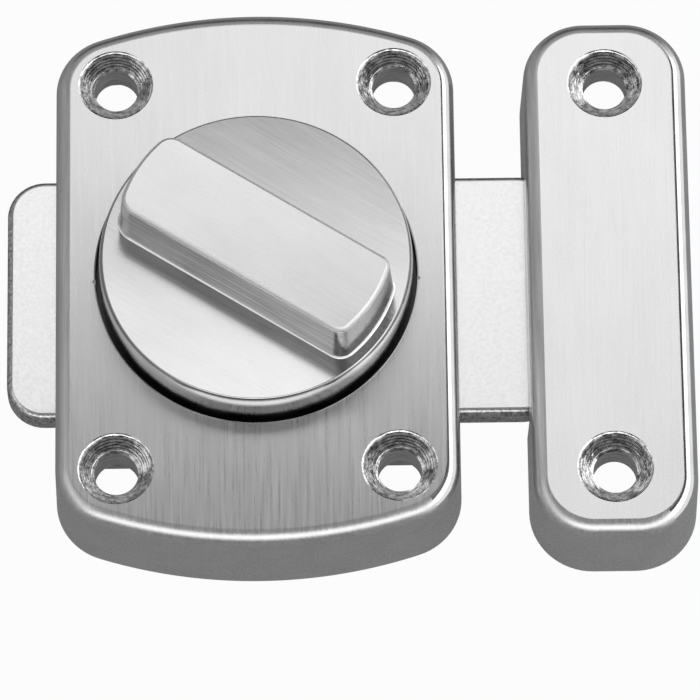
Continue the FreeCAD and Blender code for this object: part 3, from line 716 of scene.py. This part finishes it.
backScrew = {
    "head": 1.7, "headBreak": 0.03, "headRim": 0.05, "root": 0.78, "thread": 1.0, "length": 5.0,
    "pitch": 0.7, "crest": 0.4, "valley": 0.8, "threadStart": 1.2, "neck": 0.15, "tip": 0.5,
    "tipRadius": 0.15, "crossReach": 0.95, "crossHalf": 0.2, "crossDepth": 0.65, "crossRound": 0.06,
}


def makeBackScrew(number, x, y):
    s = backScrew
    # thread rings stand for the helix
    profile = [(0, 0), (s["head"] - s["headBreak"], 0), (s["head"], s["headRim"]),
               (s["thread"], s["head"] - s["thread"]), (s["root"], s["threadStart"] - s["neck"])]
    z = s["threadStart"]
    while z + s["pitch"] < s["length"] - s["tip"]:
        profile += [(s["root"], z), (s["thread"], z + s["pitch"] * s["crest"]),
                    (s["root"], z + s["pitch"] * s["valley"])]
        z += s["pitch"]
    profile += [(s["root"], s["length"] - s["tip"]), (s["tipRadius"], s["length"]), (0, s["length"])]
    piece = turned("back_screw_%d" % number, profile, steps=40, x=x, y=y)
    cross = []
    for reach, half in ((s["crossReach"], s["crossHalf"]), (s["crossHalf"], s["crossReach"])):
        arm = drawOutline("arm", *boxMoves(x - reach, x + reach, y - half, y + half, s["crossRound"],
                                           steps=3), z=-past)
        raiseFace(past + s["crossDepth"])
        cross.append(closeUp(arm))
    combine(piece, cross, "DIFFERENCE")
    smooth(piece)
    shareOut(piece, (screwFinish,), lambda middle, normal: 0)
    settle(piece, "mounting", "plain_steel", "plate_screw_%d" % number)


for number, (sx, sy) in enumerate(((1, 1), (-1, 1), (-1, -1), (1, -1)), start=1):
    makeBackScrew(number, sx * housing["postX"], sy * housing["postY"])
print("screws turned")

# the pieces that keep their CAD mesh
for name, finish in (("back_plate", plateFinish), ("crank_plate", plateFinish),
                     ("drive_pin", steelFinish), ("wave_washer", steelFinish), ("hub_screw", steelFinish)):
    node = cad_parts[name]
    node.data.materials.clear()
    node.data.materials.append(finish)


studio = {
    "floorSize": 6.0, "floorZ": -0.00002, "floorTone": 0.18, "floorSeen": 0.97, "floorMirrored": 0.15,
    "bandFoot": (0.36, 0.46), "bandHead": (0.68, 0.78), "wallBlend": (0.45, 0.65),
    "nearWall": 1.8, "farWall": 0.3, "rightWall": 0.85, "leftWall": 0.3, "darkRoom": 0.06,
    "boxHeight": 0.3, "tilt": 22.74, "roll": -0.17, "yaw": -0.58, "aim": (0.01106, -0.00504, 0.0),
    "distance": 0.84567, "lens": 362.0,
}
# each softbox by its sides x0, x1, y0 and y1 in metres, and its glow
softboxes = {
    "Edge": (-0.10, 0.14, 0.102, 0.125, 0.6), "Main": (-0.10, 0.145, 0.125, 0.20, 1.0),
    "Back": (-0.13, 0.16, 0.20, 0.27, 0.6), "Top": (-0.13, 0.145, -0.09, 0.06, 0.15),
    "Front": (-0.13, 0.16, -0.33, -0.20, 1.3), "RightFront": (0.23, 0.50, -0.30, 0.0, 1.9),
    "RightBack": (0.23, 0.50, 0.0, 0.40, 1.15), "LeftFront": (-0.45, -0.13, -0.30, 0.12, 0.65),
}


def makeFloor():
    # the floor glows white for the camera, and only faintly in the metal
    tone = studio["floorTone"]
    putDown()
    bpy.ops.mesh.primitive_plane_add(size=studio["floorSize"], location=(0, 0, studio["floorZ"]))
    floor = bpy.context.object
    floor.name = "studio_floor"
    material, tree, shader = newMaterial("PaleFloor")
    shader.inputs["Base Color"].default_value = (tone, tone, tone, 1)
    shader.inputs["Roughness"].default_value = 0.9
    shader.inputs["Specular IOR Level"].default_value = 0.0
    glow = add(tree, "ShaderNodeEmission", Color=(1, 1, 1, 1), Strength=1.0)
    path = add(tree, "ShaderNodeLightPath")
    seen = reckon(tree, "MULTIPLY", path.outputs["Is Camera Ray"], studio["floorSeen"])
    mirrored = reckon(tree, "MULTIPLY", path.outputs["Is Glossy Ray"], studio["floorMirrored"])
    share = reckon(tree, "ADD", seen, mirrored)
    mix = add(tree, "ShaderNodeMixShader")
    tree.links.new(share, mix.inputs[0])
    tree.links.new(shader.outputs["BSDF"], mix.inputs[1])
    tree.links.new(glow.outputs["Emission"], mix.inputs[2])
    tree.links.new(mix.outputs["Shader"], tree.nodes["Material Output"].inputs["Surface"])
    floor.data.materials.append(material)


def makeWorld():
    # plain white for the camera; the metal mirrors a dim room with a band of pale walls
    s = studio
    world = bpy.data.worlds.new("Studio")
    world.use_nodes = True
    bpy.context.scene.world = world
    tree = world.node_tree
    background = tree.nodes["Background"]
    path = add(tree, "ShaderNodeLightPath")
    where = add(tree, "ShaderNodeTexCoord")
    split = add(tree, "ShaderNodeSeparateXYZ")
    tree.links.new(where.outputs["Generated"], split.inputs["Vector"])
    x, y, z = (split.outputs[axis] for axis in "XYZ")

    def wall(axis, way, strength):
        return ramp(tree, reckon(tree, "MULTIPLY", axis, way), *s["wallBlend"], 0.0, strength)

    band = reckon(tree, "MULTIPLY", ramp(tree, z, *s["bandFoot"], 0.0, 1.0),
                  ramp(tree, z, *s["bandHead"], 1.0, 0.0))
    ends = reckon(tree, "ADD", wall(y, -1.0, s["nearWall"]), wall(y, 1.0, s["farWall"]))
    sides = reckon(tree, "ADD", wall(x, 1.0, s["rightWall"]), wall(x, -1.0, s["leftWall"]))
    walls = reckon(tree, "MAXIMUM", sides, reckon(tree, "MULTIPLY", band, ends))
    room = reckon(tree, "ADD", walls, s["darkRoom"])
    both = add(tree, "ShaderNodeMix", data_type="FLOAT")
    tree.links.new(path.outputs["Is Camera Ray"], both.inputs["Factor"])
    tree.links.new(room, both.inputs[2])
    both.inputs[3].default_value = 1.0
    background.inputs["Color"].default_value = (1, 1, 1, 1)
    tree.links.new(both.outputs[0], background.inputs["Strength"])


def softbox(name, x0, x1, y0, y1, glow):
    # a flat box of light over the bench, its glow even all over
    lamp = bpy.data.lights.new(name, "AREA")
    lamp.shape = "RECTANGLE"
    lamp.size, lamp.size_y = x1 - x0, y1 - y0
    lamp.energy = math.pi * glow * (x1 - x0) * (y1 - y0)
    holder = bpy.data.objects.new(name, lamp)
    bpy.context.scene.collection.objects.link(holder)
    holder.location = ((x0 + x1) / 2, (y0 + y1) / 2, studio["boxHeight"])
    holder.visible_camera = False


def makeCamera():
    s = studio
    tilt, roll, yaw = (math.radians(s[key]) for key in ("tilt", "roll", "yaw"))
    turn = Matrix.Rotation(yaw, 3, "Z") @ Matrix.Rotation(tilt, 3, "X") @ Matrix.Rotation(roll, 3, "Z")
    camera = bpy.data.objects.new("Camera", bpy.data.cameras.new("Camera"))
    bpy.context.scene.collection.objects.link(camera)
    camera.data.lens = s["lens"]
    camera.data.sensor_width = 36.0
    camera.data.clip_start = 0.01
    place = Vector(s["aim"]) + s["distance"] * turn.col[2]
    camera.matrix_world = Matrix.Translation(place) @ turn.to_4x4()
    bpy.context.scene.camera = camera


makeFloor()
makeWorld()
for name, settings in softboxes.items():
    softbox(name, *settings)
makeCamera()
bpy.context.scene.view_settings.view_transform = "Standard"
print("studio set")
